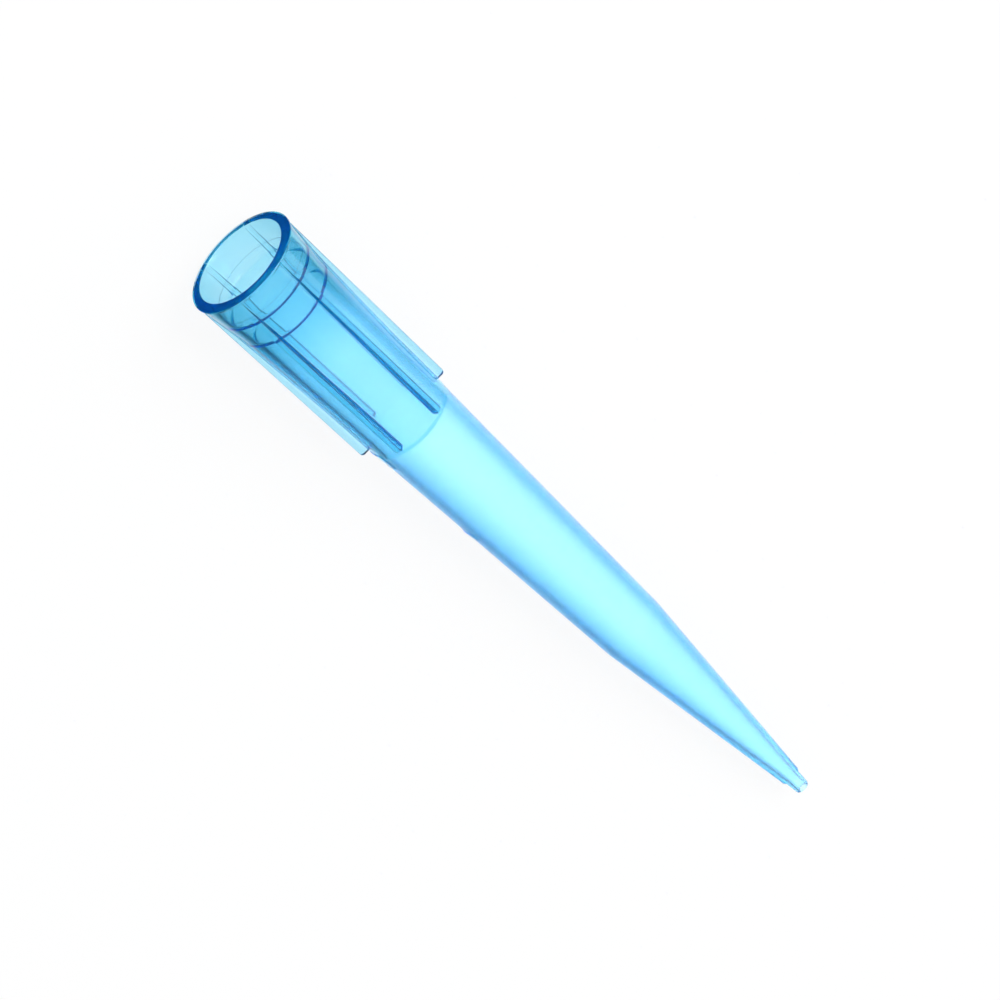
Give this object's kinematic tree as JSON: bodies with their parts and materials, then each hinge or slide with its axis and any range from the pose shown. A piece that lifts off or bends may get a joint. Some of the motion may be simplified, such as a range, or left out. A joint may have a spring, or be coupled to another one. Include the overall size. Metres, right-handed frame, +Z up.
{
  "type": "pipette tip",
  "caption": "Long tapered pipette tip in clear blue plastic: open ribbed collar with a stepped seat for the pipette's cone, frosted body and a fine nozzle. Lies on its side.",
  "frame": {"origin": "on the surface that the tip lies on, under the middle of its length", "axes": "+X along the tip from its mouth to its nozzle, +Z up. The tip's own axis is in the XZ plane, pitched 2.39 degrees nozzle down from +X, as it comes to rest"},
  "size_m": [0.0706, 0.0096, 0.0096],
  "materials": {
    "polypropylene": "clear blue polypropylene: polished on the collar and ribs, frosted from the foot of the ribs to the nozzle"
  },
  "bodies": {
    "root": {"pipette_tip": "polypropylene"}
  },
  "joints": []
}
